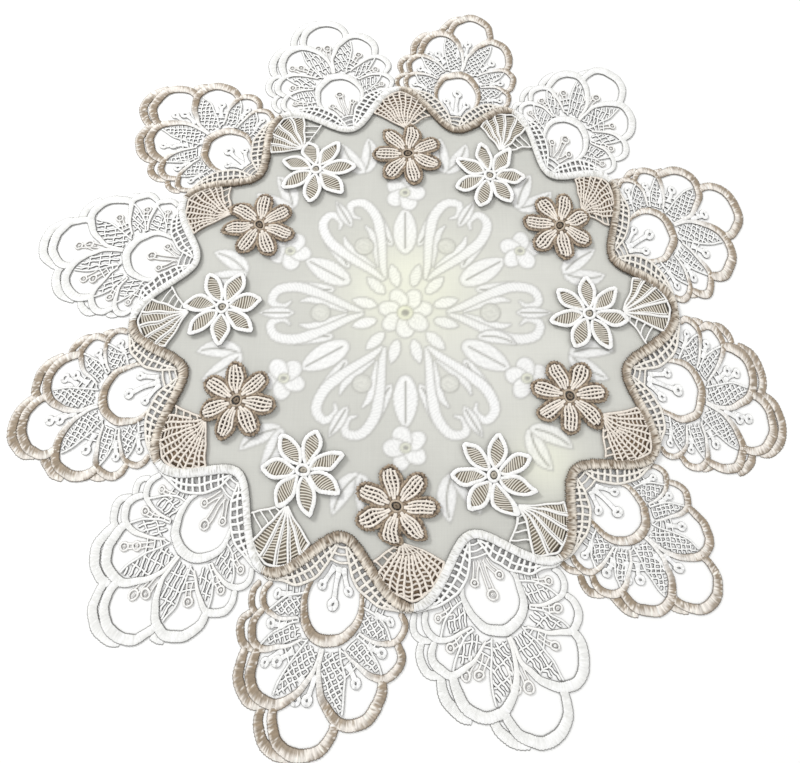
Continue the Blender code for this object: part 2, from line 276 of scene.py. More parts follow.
class Lace:
    """Gathers strands, in millimetres, into one mesh with thread
    coordinates, colours and a map with each strand in a strip of its own."""

    def __init__(self, seed, wobble=0.3, angle_deg=90.0):
        self.random = np.random.default_rng(seed)
        self.wobble = wobble
        self.angle_deg = angle_deg
        self.waves = [
            (
                self.random.uniform(0.18, 0.6, 2) * self.random.choice([-1, 1], 2),
                self.random.uniform(0, 2 * pi),
                self.random.uniform(0, 2 * pi),
            )
            for _ in range(5)
        ]
        self.points, self.tints, self.threads = [], [], []
        self.quads, self.tris, self.strips = [], [], []
        self.count = 0

    def bent(self, points):
        """The small waywardness of hand-guided thread."""
        made = np.array(points, float)
        for wave, one, two in self.waves:
            phase = points[:, :2] @ wave
            made[:, 0] += self.wobble * 0.42 * np.sin(phase + one)
            made[:, 1] += self.wobble * 0.42 * np.cos(phase + two)
        return made

    def sweep(self, line, section, half_width, height, tints, closed=False, s=None):
        """line is (n, 3); half_width and height are per row; tints is one
        colour per section point, (m, 3), or per row and point, (n, m, 3)."""
        line = np.asarray(line, float)
        n, m = len(line), len(section)
        if closed:
            heading = np.roll(line, -1, 0) - np.roll(line, 1, 0)
        else:
            heading = np.gradient(line, axis=0)
        heading /= np.maximum(np.linalg.norm(heading, axis=1, keepdims=True), 1e-9)
        side = np.column_stack([heading[:, 1], -heading[:, 0], np.zeros(n)])
        side /= np.maximum(np.linalg.norm(side, axis=1, keepdims=True), 1e-9)
        up = np.cross(side, heading)
        half_width = np.broadcast_to(half_width, n)
        height = np.broadcast_to(height, n)
        grid = (
            line[:, None]
            + side[:, None] * (section[None, :, 0, None] * half_width[:, None, None])
            + up[:, None] * (section[None, :, 1, None] * height[:, None, None])
        )
        tints = np.broadcast_to(tints, (n, m, 3))
        if s is None:
            gaps = np.linalg.norm(np.diff(line, axis=0), axis=1)
            s = np.concatenate([[0.0], np.cumsum(gaps)])
        seed = self.random.uniform(0, 10)
        thread = np.stack(
            [
                np.broadcast_to(s[:, None], (n, m)),
                np.broadcast_to(section[None, :, 0], (n, m)),
                np.full((n, m), seed),
            ],
            axis=2,
        )
        base = self.count
        self.points.append(grid.reshape(-1, 3))
        self.tints.append(tints.reshape(-1, 3))
        self.threads.append(thread.reshape(-1, 3))
        self.count += n * m
        rows = np.arange(n if closed else n - 1)
        after = (rows + 1) % n
        cols = np.arange(m)
        right = (cols + 1) % m
        quads = np.stack(
            [
                base + rows[:, None] * m + cols[None],
                base + after[:, None] * m + cols[None],
                base + after[:, None] * m + right[None],
                base + rows[:, None] * m + right[None],
            ],
            axis=2,
        )
        edge = np.linalg.norm(
            (section - np.roll(section, -1, axis=0))
            * np.array([half_width.mean(), height.mean()]),
            axis=1,
        )
        around = np.concatenate([[0.0], np.cumsum(edge)])
        reach = (
            float(s[-1] + (np.linalg.norm(line[0] - line[-1]) if closed else 0.0))
            + 1e-6
        )
        u = np.append(s, reach) if closed else np.asarray(s)
        cap = 0.0 if closed else 0.4
        uv = np.stack(
            [
                np.stack([u[rows][:, None] + 0 * cols, 0 * rows[:, None] + around[cols]], 2),
                np.stack([u[rows + 1][:, None] + 0 * cols, 0 * rows[:, None] + around[cols]], 2),
                np.stack([u[rows + 1][:, None] + 0 * cols, 0 * rows[:, None] + around[cols + 1]], 2),
                np.stack([u[rows][:, None] + 0 * cols, 0 * rows[:, None] + around[cols + 1]], 2),
            ],
            axis=2,
        )
        uv[..., 0] += cap
        tri_faces, tri_uv = [], []
        if not closed:
            for row, push in ((0, -1), (n - 1, 1)):
                tip = line[row] + heading[row] * push * half_width[row] * 0.45
                tip = tip + up[row] * height[row] * 0.3
                self.points.append(tip[None])
                self.tints.append(tints[row].mean(axis=0)[None])
                self.threads.append(np.array([[s[row], 0.0, seed]]))
                centre = self.count
                self.count += 1
                for k in range(m):
                    k2 = (k + 1) % m
                    one, two = base + row * m + k, base + row * m + k2
                    at = u[row] + cap
                    where = [
                        (at, around[k]),
                        (at, around[k + 1]),
                        (at + push * cap, (around[k] + around[k + 1]) / 2),
                    ]
                    if push < 0:
                        tri_faces.append((one, two, centre))
                        tri_uv.append(where)
                    else:
                        tri_faces.append((two, one, centre))
                        tri_uv.append([where[1], where[0], where[2]])
        self.quads.append(quads.reshape(-1, 4))
        self.tris.append(np.array(tri_faces, int).reshape(-1, 3))
        self.strips.append(
            (
                reach + 2 * cap,
                float(around[-1]),
                uv.reshape(-1, 4, 2),
                np.array(tri_uv, float).reshape(-1, 3, 2),
            )
        )

    # -- kinds of strand
    def band(self, rows, height, tints, z, step=0.55, closed=False, serrate=0.055,
             fade=None, bend=True, painted_shading=None, mottle=0.045):
        """Satin-stitched band; rows are x, y, half width.  tints is
        (outline, left, middle, right); the outline is painted shade on the
        band's sides and underside, and a left tint lighter than the right is a
        painted highlight and painted shade across the band.  The painted-shading
        tuple is (light, dark, outer), outer being the side of the line (-1 left,
        1 right) that looks out: a lit and a shaded tone of the one thread, with
        the painted shade along the right-hand edge as the mat is seen, broadest
        where the band runs up and down, as shade and satin sheen fall under a
        light from the left.  With a fourth value, the painted shade lies along
        the inner edge, one breadth throughout."""
        line, s = spline(rows, step, closed)
        if closed and len(line) % 2:
            line, s = spline(rows, step * len(line) / (len(line) + 1), closed)
        n = len(line)
        half = line[:, 2] * (
            1
            + serrate * np.where(np.arange(n) % 2, 1, -1)
            + self.random.normal(0, serrate * 0.45, n)
        )
        rise = height * (
            1
            + 0.07 * np.where(np.arange(n) % 2, 1, -1)
            + self.random.normal(0, 0.035, n)
        )
        flat = self.bent(line[:, :2]) if bend else line[:, :2]
        outline, left, middle, right = tints
        # the outline tint on the sides and under the band is painted shade
        ramp = np.array(
            [
                outline,
                outline,
                left,
                left * 0.4 + middle * 0.6,
                right * 0.4 + middle * 0.6,
                right,
                outline,
                outline,
                outline * 0.8,
            ]
        )
        streak = 1 + self.random.normal(0, mottle, n)
        colours = np.repeat(ramp[None], n, axis=0)
        # painted shade and satin sheen: a lit and a shaded tone of the one thread, laid by which way
        # the band faces the light
        if painted_shading is not None:
            heading = np.gradient(line[:, :2], axis=0)
            heading /= np.maximum(np.linalg.norm(heading, axis=1, keepdims=True), 1e-9)
            light, shade, outer, *even = painted_shading
            way = np.column_stack([heading[:, 1], -heading[:, 0]]) * outer
            turn = radians(self.angle_deg) - pi / 2 - radians(190)
            facing = way[:, 0] * cos(turn) - way[:, 1] * sin(turn)
            if even:
                facing = np.full(n, even[0])
            steep = np.maximum(facing, -0.85 * facing)
            reach = 0.22 + 0.62 * steep**1.1 + self.random.normal(0, 0.12, n)
            across = (1 + BAND_SECTION[:, 0] * outer * np.sign(facing + 1e-9)[:, None]) / 2
            dark = smooth_step(0.14, -0.14, across - reach[:, None])[..., None]
            dark = dark * (0.72 + 0.28 * steep)[:, None, None]
            colours = light * (1 - dark) + shade * dark
            # the outline rows on the band's sides are painted shade, and the underside is darker
            # still
            rim = [0, 1, 6, 7]
            colours[:, rim] = colours[:, rim] * 0.15 + outline * 0.85
            colours[:, 8] = outline * 0.8
            # pale flecks are random thread tone; the braid's dark flecks are painted shade in its
            # pin holes
            fleck = self.random.random((n, 4)) < (0.16 if even else 0.07)
            for column, at in enumerate((2, 3, 4, 5)):
                colours[fleck[:, column], at] = light if not even else shade * 0.8
        colours = colours * streak[:, None, None]
        if fade is not None:
            share = np.interp(np.linspace(0, 1, n), *fade[1:])[:, None, None]
            other = np.array([fade[0]] * len(ramp))
            other[[0, 1, 6, 7]] = PALE_SIDE_SHADE
            colours = colours * (1 - share) + other[None] * share
        level = np.full(n, z, float) if np.isscalar(z) else np.interp(
            np.linspace(0, 1, n), np.linspace(0, 1, len(z)), z
        )
        self.sweep(
            np.column_stack([flat, level]),
            BAND_SECTION,
            half,
            rise,
            colours.clip(0, 1),
            closed,
            s,
        )

    def cord(self, rows, radius, z, colour, side_shade_colour, step=0.8, closed=False,
             curved=True, section=CORD_SECTION, flat=0.85, bend=True):
        """Round cord; rows are x, y, and z too when z is None."""
        rows = np.asarray(rows, float)
        if z is not None:
            rows = np.column_stack(
                [rows[:, :2], np.broadcast_to(np.asarray(z, float), len(rows))]
            )
        if curved and len(rows) > 2 or closed:
            line, s = spline(rows, step, closed)
        else:
            line, s = straight(rows, step)
        n = len(line)
        if bend:
            line = np.column_stack([self.bent(line[:, :2]), line[:, 2]])
        half = radius * (1 + 0.08 * np.where(np.arange(n) % 2, 1, -1))
        # the second colour is painted shade on the sides and underside of the cord or thread; the
        # first is the thread on top
        if section is THREAD_SECTION:
            ramp = np.array([side_shade_colour, colour, colour, side_shade_colour, side_shade_colour])
        elif section is NET_SECTION:
            ramp = np.array(
                [side_shade_colour, side_shade_colour, colour, colour, side_shade_colour, side_shade_colour,
                 side_shade_colour]
            )
        else:
            ramp = np.array(
                [side_shade_colour, colour, colour, colour, side_shade_colour, side_shade_colour,
                 side_shade_colour]
            )
        self.sweep(line, section, half, half * flat, ramp, closed, s)

    def thread(self, rows, radius, z, colour, side_shade_colour, step=0.9,
               section=THREAD_SECTION, **more):
        self.cord(rows, radius, z, colour, side_shade_colour, step, curved=False,
                  section=section, **more)

    def net(self, polygon, sets, z, colour, side_shade_colour, waver=0.2):
        """Open net; each set of threads is (heading, pitch, radius)."""
        for index, (heading, pitch, radius) in enumerate(sets):
            for one, two in runs_across(polygon, heading, pitch, pitch * 0.37 * index):
                count = max(2, int(np.linalg.norm(two - one) / 1.1))
                t = np.linspace(0, 1, count + 1)[:, None]
                rows = one + (two - one) * t
                rows[1:-1] += self.random.normal(0, waver, (count - 1, 2))
                level = z + 0.05 * np.where((np.arange(count + 1) + index) % 2, 1, -1)
                self.thread(rows, radius, level, colour, side_shade_colour, 1.1, NET_SECTION,
                            flat=0.5)

    def picot(self, base, head, radius, z, colour, side_shade_colour, knotted):
        """A stem run out to a round head.  A plain head is a close coil
        round a pin hole; a knotted one is a ring with a knot in it."""
        base, head = np.array(base, float), np.array(head, float)
        out = head - base
        out /= np.linalg.norm(out)
        across = np.array([-out[1], out[0]])
        tints = (side_shade_colour, colour, colour, colour)
        if knotted:
            core = radius - 0.6
            self.cord(arc(head, core, core, 0, 324, 10), 0.6, z, colour, side_shade_colour,
                      0.9, closed=True)
            self.cord(arc(head, 0.5, 0.5, 0, 300, 6), 0.42, z + 0.1, colour, side_shade_colour,
                      0.6, closed=True)
            for side in (-1, 1):
                start = base + across * side * 1.3
                end = head - out * core * 0.75 + across * side * core * 0.62
                middle = (start + end) / 2 - across * side * 0.3
                self.cord([start, middle, end], 0.5, z - 0.05, colour, side_shade_colour, 1.0)
            return
        core = radius * 0.6
        ring = [(*p, radius * 0.41) for p in arc(head, core, core, 0, 324, 10)]
        neck = head - out * radius * 0.72
        self.band(
            [(*base, 1.8), (*(base * 0.5 + neck * 0.5), 1.15), (*neck, 1.35)],
            0.4, tints, z - 0.06, 0.8, serrate=0.02,
        )
        self.band(ring, 0.42, tints, z, 0.8, closed=True, serrate=0.02)

    def patch(self, outline_rows, z, thickness, tint, rim):
        """Filled shape between two sides: rows are x0, y0, x1, y1, from one
        end to the other, domed across."""
        rows = np.asarray(outline_rows, float)
        one, two = rows[:, :2], rows[:, 2:4]
        middle = (one + two) / 2
        across = two - one
        width = np.linalg.norm(across, axis=1) / 2
        n = len(rows)
        section = np.array(
            [(-1.0, 0.0), (-0.6, 0.75), (0.0, 1.0), (0.6, 0.75), (1.0, 0.0), (0.0, -0.3)]
        )
        m = len(section)
        level = np.broadcast_to(np.asarray(z, float), n)
        flat = middle[:, None] + across[:, None] / 2 * section[None, :, 0, None]
        flat = self.bent(flat.reshape(-1, 2)).reshape(n, m, 2)
        high = level[:, None] + section[None, :, 1] * thickness
        grid = np.concatenate([flat, high[..., None]], axis=2)
        step = np.linalg.norm(np.diff(middle, axis=0), axis=1)
        s = np.concatenate([[0.0], np.cumsum(step)])
        seed = self.random.uniform(0, 10)
        ramp = np.array([rim, tint, tint, tint, rim, rim])
        base = self.count
        self.points.append(grid.reshape(-1, 3))
        self.tints.append(np.broadcast_to(ramp[None], (n, m, 3)).reshape(-1, 3))
        self.threads.append(
            np.stack(
                [
                    np.broadcast_to(s[:, None], (n, m)),
                    section[None, :, 0] * width[:, None],
                    np.full((n, m), seed),
                ],
                axis=2,
            ).reshape(-1, 3)
        )
        self.count += n * m
        r, c = np.arange(n - 1), np.arange(m)
        right = (c + 1) % m
        quads = np.stack(
            [
                base + r[:, None] * m + c[None],
                base + (r + 1)[:, None] * m + c[None],
                base + (r + 1)[:, None] * m + right[None],
                base + r[:, None] * m + right[None],
            ],
            axis=2,
        )
        half = float(width.max())
        around = np.concatenate(
            [[0.0], np.cumsum(np.abs(section - np.roll(section, -1, 0))[:, 0] * half + 0.1)]
        )
        uv = np.stack(
            [
                np.stack([s[r][:, None] + 0 * c, 0 * r[:, None] + around[c]], 2),
                np.stack([s[r + 1][:, None] + 0 * c, 0 * r[:, None] + around[c]], 2),
                np.stack([s[r + 1][:, None] + 0 * c, 0 * r[:, None] + around[c + 1]], 2),
                np.stack([s[r][:, None] + 0 * c, 0 * r[:, None] + around[c + 1]], 2),
            ],
            axis=2,
        )
        uv[..., 0] += 0.4
        tri_faces, tri_uv = [], []
        for row, push in ((0, -1), (n - 1, 1)):
            tip = grid[row].mean(axis=0)
            self.points.append(tip[None])
            self.tints.append(np.asarray(rim)[None])
            self.threads.append(np.array([[s[row], 0.0, seed]]))
            centre = self.count
            self.count += 1
            for k in range(m):
                k2 = (k + 1) % m
                at = s[row] + 0.4
                where = [
                    (at, around[k]),
                    (at, around[k + 1]),
                    (at + push * 0.4, (around[k] + around[k + 1]) / 2),
                ]
                one_v, two_v = base + row * m + k, base + row * m + k2
                if push < 0:
                    tri_faces.append((one_v, two_v, centre))
                    tri_uv.append(where)
                else:
                    tri_faces.append((two_v, one_v, centre))
                    tri_uv.append([where[1], where[0], where[2]])
        self.quads.append(quads.reshape(-1, 4))
        self.tris.append(np.array(tri_faces, int))
        self.strips.append(
            (
                float(s[-1]) + 0.8,
                float(around[-1]),
                uv.reshape(-1, 4, 2),
                np.array(tri_uv, float),
            )
        )

    # -- the mesh
    def packed(self):
        """Each strip's place on one square map."""
        margin = 0.35
        area = sum((w + margin) * (h + margin) for w, h, _, _ in self.strips)
        side = sqrt(area) * 1.04
        longest = max(w for w, _, _, _ in self.strips)
        side = max(side, longest + margin)
        order = sorted(range(len(self.strips)), key=lambda k: -self.strips[k][1])
        places = [None] * len(self.strips)
        x = y = margin
        shelf = 0.0
        for k in order:
            w, h = self.strips[k][:2]
            if x + w + margin > side:
                x, y = margin, y + shelf + margin
                shelf = 0.0
            places[k] = (x, y)
            shelf = max(shelf, h)
            x += w + margin
        return places, max(side, y + shelf + margin)

    def build(self, name, finish, nudge=None):
        turn = radians(self.angle_deg) - pi / 2
        points = np.vstack(self.points)
        c, s = cos(turn), sin(turn)
        world = np.column_stack(
            [
                points[:, 0] * c - points[:, 1] * s,
                points[:, 0] * s + points[:, 1] * c,
                points[:, 2],
            ]
        )
        if nudge is not None:
            world = lie(world, nudge)
        world[:, 2] = np.maximum(world[:, 2], RESTS_Z)
        places, side = self.packed()
        corners, totals, uvs = [], [], []
        for strip, place, quads, tris in zip(self.strips, places, self.quads, self.tris):
            corners.append(quads.ravel())
            totals.append(np.full(len(quads), 4))
            uvs.append((strip[2].reshape(-1, 2) + place) / side)
            if len(tris):
                corners.append(tris.ravel())
                totals.append(np.full(len(tris), 3))
                uvs.append((strip[3].reshape(-1, 2) + place) / side)
        return solid(
            name,
            world,
            np.concatenate(corners),
            np.concatenate(totals),
            finish,
            np.vstack(self.tints),
            np.vstack(self.threads),
            np.vstack(uvs),
        )


def solid(name, points_mm, corners, totals, finish, tints, threads, uvs,
          cover=1.0):
    """One smooth-shaded piece from arrays, riding on the root body."""
    mesh = bpy.data.meshes.new(name)
    mesh.vertices.add(len(points_mm))
    mesh.vertices.foreach_set("co", (points_mm * MM).astype(np.float32).ravel())
    mesh.loops.add(len(corners))
    mesh.loops.foreach_set("vertex_index", corners.astype(np.int32))
    starts = np.concatenate([[0], np.cumsum(totals)[:-1]])
    mesh.polygons.add(len(totals))
    mesh.polygons.foreach_set("loop_start", starts.astype(np.int32))
    mesh.polygons.foreach_set("loop_total", totals.astype(np.int32))
    mesh.polygons.foreach_set("use_smooth", np.ones(len(totals), bool))
    mesh.update(calc_edges=True)
    tint = mesh.attributes.new("tint", "FLOAT_COLOR", "POINT")
    tint.data.foreach_set(
        "color",
        np.column_stack([tints.clip(0, 1), np.full(len(tints), cover)])
        .astype(np.float32)
        .ravel(),
    )
    thread = mesh.attributes.new("thread", "FLOAT_VECTOR", "POINT")
    thread.data.foreach_set("vector", threads.astype(np.float32).ravel())
    if uvs is not None:
        layer = mesh.uv_layers.new(name="OFBake")
        layer.uv.foreach_set("vector", uvs.astype(np.float32).ravel())
    mesh.validate()
    mesh.materials.append(finish)
    piece = bpy.data.objects.new(name, mesh)
    bpy.context.scene.collection.objects.link(piece)
    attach(piece, "root")
    return piece


# ---------------------------------------------------------------- materials
class Nodes:
    """Short calls for a node tree."""

    def __init__(self, name):
        self.material = bpy.data.materials.new(name)
        self.material.use_nodes = True
        self.tree = self.material.node_tree
        self.shader = self.tree.nodes["Principled BSDF"]

    def link(self, source, socket):
        self.tree.links.new(source, socket)

    def attribute(self, name, output="Vector"):
        node = self.tree.nodes.new("ShaderNodeAttribute")
        node.attribute_name = name
        return node.outputs[output]

    def split(self, vector):
        node = self.tree.nodes.new("ShaderNodeSeparateXYZ")
        self.link(vector, node.inputs[0])
        return node.outputs

    def math(self, operation, one, two=0.0, three=0.0):
        node = self.tree.nodes.new("ShaderNodeMath")
        node.operation = operation
        for socket, value in zip(node.inputs, (one, two, three)):
            if isinstance(value, (int, float)):
                socket.default_value = value
            else:
                self.link(value, socket)
        return node.outputs[0]

    def scaled(self, vector, by):
        node = self.tree.nodes.new("ShaderNodeVectorMath")
        node.operation = "MULTIPLY"
        self.link(vector, node.inputs[0])
        node.inputs[1].default_value = by
        return node.outputs[0]

    def noise(self, vector, scale, detail=2.0, roughness=0.5):
        node = self.tree.nodes.new("ShaderNodeTexNoise")
        self.link(vector, node.inputs["Vector"])
        node.inputs["Scale"].default_value = scale
        node.inputs["Detail"].default_value = detail
        node.inputs["Roughness"].default_value = roughness
        return node.outputs["Fac"]

    def span(self, value, low, high, start=0.0, end=1.0):
        node = self.tree.nodes.new("ShaderNodeMapRange")
        self.link(value, node.inputs["Value"])
        node.inputs["From Min"].default_value = start
        node.inputs["From Max"].default_value = end
        node.inputs["To Min"].default_value = low
        node.inputs["To Max"].default_value = high
        return node.outputs["Result"]

    def times(self, colour, factor):
        node = self.tree.nodes.new("ShaderNodeVectorMath")
        node.operation = "SCALE"
        self.link(colour, node.inputs[0])
        self.link(factor, node.inputs["Scale"])
        return node.outputs[0]

    def mix(self, factor, one, two):
        node = self.tree.nodes.new("ShaderNodeMix")
        node.data_type = "RGBA"
        node.clamp_factor = True
        for socket, value in zip(
            (node.inputs[0], node.inputs[6], node.inputs[7]), (factor, one, two)
        ):
            if hasattr(value, "is_linked"):
                self.link(value, socket)
            elif isinstance(value, (int, float)):
                socket.default_value = value
            else:
                socket.default_value = (*value, 1.0)
        return node.outputs[2]

    def bump(self, height, distance, strength=1.0):
        node = self.tree.nodes.new("ShaderNodeBump")
        node.inputs["Strength"].default_value = strength
        node.inputs["Distance"].default_value = distance
        self.link(height, node.inputs["Height"])
        self.link(node.outputs["Normal"], self.shader.inputs["Normal"])

    def set(self, **values):
        for name, value in values.items():
            self.shader.inputs[name.replace("_", " ")].default_value = value


def thread_finish(name, streak_low, streak_high, roughness, depth=1.0, stitch=0.5):
    """Embroidery thread: fine stitches across each strand, streaks of
    lighter and darker thread, a soft satin gloss."""
    n = Nodes(name)
    tint = n.attribute("tint", "Color")
    place = n.attribute("thread")
    s, t, seed = n.split(place)
    lay = n.math("ADD", n.math("MULTIPLY", s, 2 * pi / stitch), n.math("MULTIPLY", t, 1.4))
    waver = n.math("MULTIPLY", n.noise(n.scaled(place, (2.0, 0.8, 7.0)), 1.0), 4.0)
    ridge = n.span(n.math("SINE", n.math("ADD", lay, waver)), 0.0, 1.0, -1.0, 1.0)
    broad = n.noise(n.scaled(place, (0.9, 0.35, 9.0)), 1.0, 3.0, 0.6)
    fine = n.noise(n.scaled(place, (3.2, 0.9, 9.0)), 1.0, 2.0, 0.6)
    shade = n.math(
        "MULTIPLY",
        n.math("MULTIPLY", n.span(broad, streak_low, streak_high, 0.3, 0.7),
               n.span(fine, 1 - 0.07 * depth, 1 + 0.05 * depth, 0.3, 0.7)),
        n.span(ridge, 1 - 0.07 * depth, 1 + 0.03 * depth),
    )
    n.link(n.times(tint, shade), n.shader.inputs["Base Color"])
    n.link(n.span(fine, roughness - 0.1, roughness + 0.1, 0.3, 0.7), n.shader.inputs["Roughness"])
    n.bump(n.math("ADD", ridge, n.math("MULTIPLY", fine, 0.8)), 0.00009, 0.8)
    n.set(Sheen_Weight=0.15, Sheen_Roughness=0.4, Specular_IOR_Level=0.4)
    n.material.diffuse_color = (0.9, 0.9, 0.88, 1.0)
    return n.material


def organza_finish():
    """Sheer ground with a close white figure woven into it."""
    n = Nodes("organza")
    tint, cover = n.attribute("tint", "Color"), n.attribute("tint", "Alpha")
    flat = n.scaled(n.attribute("position"), (1000.0, 1000.0, 0.0))
    x, y, _ = n.split(flat)
    warp = n.math("SINE", n.math("MULTIPLY", x, 2 * pi / 0.42))
    weft = n.math("SINE", n.math("MULTIPLY", y, 2 * pi / 0.42))
    weave = n.span(n.math("MULTIPLY", warp, weft), 0.0, 1.0, -1.0, 1.0)
    slub = n.noise(n.scaled(flat, (0.05, 1.6, 0.0)), 1.0, 3.0)
    slub2 = n.noise(n.scaled(flat, (1.6, 0.05, 0.0)), 1.0, 3.0)
    broad = n.noise(n.scaled(flat, (0.035, 0.035, 0.0)), 1.0, 2.0)
    sheer = n.math(
        "MULTIPLY",
        n.math("MULTIPLY", n.span(slub, 0.98, 1.02, 0.3, 0.7), n.span(slub2, 0.98, 1.02, 0.3, 0.7)),
        n.math("MULTIPLY", n.span(weave, 0.97, 1.02), n.span(broad, 0.97, 1.03, 0.3, 0.7)),
    )
    place = n.attribute("thread")
    s, t, _ = n.split(place)
    waver = n.math("MULTIPLY", n.noise(n.scaled(flat, (0.5, 0.5, 0.0)), 1.0, 2.0), 5.0)
    lay = n.math("ADD", n.math("MULTIPLY", s, 2 * pi / 1.7), n.math("MULTIPLY", t, 2.0))
    hatch = n.span(n.math("SINE", n.math("ADD", lay, waver)), 0.0, 1.0, -1.0, 1.0)
    fleck = n.noise(n.scaled(flat, (0.9, 0.9, 0.0)), 1.0, 3.0)
    close = n.math("MULTIPLY", n.span(hatch, 0.93, 1.02), n.span(fleck, 0.96, 1.03, 0.3, 0.7))
    shade = n.math(
        "ADD",
        n.math("MULTIPLY", sheer, n.math("SUBTRACT", 1.0, cover)),
        n.math("MULTIPLY", close, cover),
    )
    n.link(n.times(tint, shade), n.shader.inputs["Base Color"])
    n.link(n.span(slub, 0.45, 0.62, 0.3, 0.7), n.shader.inputs["Roughness"])
    n.bump(n.math("ADD", weave, n.math("MULTIPLY", n.math("ADD", hatch, fleck), cover)),
           0.00007, 0.6)
    n.set(Sheen_Weight=0.2, Sheen_Roughness=0.35, Specular_IOR_Level=0.35, Alpha=0.86)
    n.material.diffuse_color = (0.8, 0.8, 0.76, 1.0)
    return n.material


white_finish = thread_finish("white_thread", 0.96, 1.04, 0.55, 0.5)
taupe_finish = thread_finish("taupe_thread", 0.82, 1.16, 0.5)
cloth_finish = organza_finish()


# ------------------------------------------------------------------ scallop
LARGE_CENTRE = (0.0, 183.4)
RING_CENTRE = (0.0, 139.8)
# Mid-lines of the smaller satin loops, from the outer end round to the
# scallop's axis: x, y, half width.
MEDIUM = [
    (28.4, 163.0, 1.9), (29.1, 168.0, 2.3), (28.2, 173.5, 2.5), (25.0, 178.4, 2.5),
    (20.4, 181.2, 2.4), (15.4, 181.6, 2.3), (10.8, 179.8, 2.1), (6.8, 176.4, 1.8),
    (3.6, 172.0, 1.5), (1.5, 167.5, 1.2), (0.7, 162.5, 0.9), (0.5, 157.0, 0.7),
]
SMALL = [
    (31.6, 149.0, 1.5), (34.0, 152.6, 1.8), (34.2, 156.6, 1.95), (32.0, 160.4, 1.9),
    (28.4, 162.6, 1.7), (24.0, 162.6, 1.4), (19.5, 161.0, 1.1), (14.5, 158.6, 0.8),
    (10.0, 155.6, 0.6),
]
TINY = [
    (31.0, 137.4, 1.3), (33.1, 140.6, 1.5), (33.2, 144.2, 1.6), (31.2, 147.4, 1.5),
    (28.0, 149.2, 1.3), (23.8, 149.9, 1.0), (19.0, 149.6, 0.8), (14.2, 148.4, 0.6),
]
# Round outlines of the front row: centre and radius.  The under row shows
# only outside them.
FRONT = [
    ((0.0, 150.0), 28.0), ((0.0, 183.4), 15.7),
    ((19.0, 171.1), 12.9), ((-19.0, 171.1), 12.9),
    ((27.9, 155.4), 8.6), ((-27.9, 155.4), 8.6),
    ((28.4, 142.8), 6.7), ((-28.4, 142.8), 6.7),
]
LEAF_1 = [
    (14.8, 178.5), (9.0, 175.6), (4.6, 170.6), (2.2, 165.0), (1.6, 158.2),
    (7.6, 157.2), (11.2, 163.5), (13.6, 170.0),
]
LEAF_1_CORD = [(15.4, 178.5), (14.6, 172.0), (12.6, 166.0), (9.6, 160.0), (7.4, 155.2)]
LEAF_2 = [
    (26.3, 160.8), (20.0, 159.6), (14.9, 157.4), (10.8, 154.9), (13.4, 150.8),
    (18.6, 152.8), (23.5, 156.4),
]
LEAF_2_CORD = [(27.4, 161.2), (23.6, 156.0), (18.8, 152.0), (13.4, 149.6)]
LEAF_3 = [
    (27.0, 147.8), (22.0, 148.4), (15.0, 147.4), (14.5, 139.9), (19.5, 141.0),
    (24.4, 144.8),
]
LEAF_3_CORD = [(28.4, 148.2), (24.8, 143.8), (19.6, 139.9), (13.8, 138.2)]
# Rows of eyelets between a leaf's cord and the next loop: bars across.
EYELETS = [
    ((7.4, 155.8), (10.2, 156.2)), ((9.2, 159.0), (11.8, 157.2)),
    ((11.0, 162.4), (13.8, 158.6)), ((12.4, 165.6), (16.6, 160.0)),
    ((13.4, 150.0), (14.2, 148.4)), ((16.2, 151.0), (16.8, 149.2)),
    ((19.0, 152.4), (19.6, 149.8)), ((21.6, 154.2), (22.8, 150.2)),
    ((13.8, 138.4), (14.0, 135.2)), ((16.6, 138.8), (17.0, 136.0)),
    ((19.4, 140.0), (20.0, 136.6)), ((22.0, 141.8), (23.0, 136.8)),
]
LADDER_CORD = [
    (35.2, 135.6), (31.6, 136.4), (25.0, 136.4), (18.6, 135.9), (11.6, 132.4),
    (5.6, 125.5), (2.8, 118.5), (2.3, 114.6),
]


def braid_point(turn, offset=0.0):
    """A point of the wavy braid, turn from a scallop's axis (+Y)."""
    middle = (BRAID_TIP_R + BRAID_VALLEY_R) / 2
    swing = (BRAID_TIP_R - BRAID_VALLEY_R) / 2
    radius = middle - swing * cos(LOBES * turn)
    slope = swing * LOBES * sin(LOBES * turn)
    outward = np.array((sin(turn), cos(turn)))
    along = np.array((cos(turn), -sin(turn)))
    square = outward * radius - along * slope
    return outward * radius + square / np.linalg.norm(square) * offset


def large_rows():
    turn = np.linspace(-95, 95, 21)
    half = np.interp(np.abs(turn), [0, 50, 95], [2.65, 2.35, 2.0])
    points = arc(LARGE_CENTRE, 13.5, 13.1, -95, 95, 21)
    return np.vstack(
        [
            [(-13.9, 180.6, 1.7)],
            np.column_stack([points, half]),
            [(13.9, 180.6, 1.7)],
        ]
    )


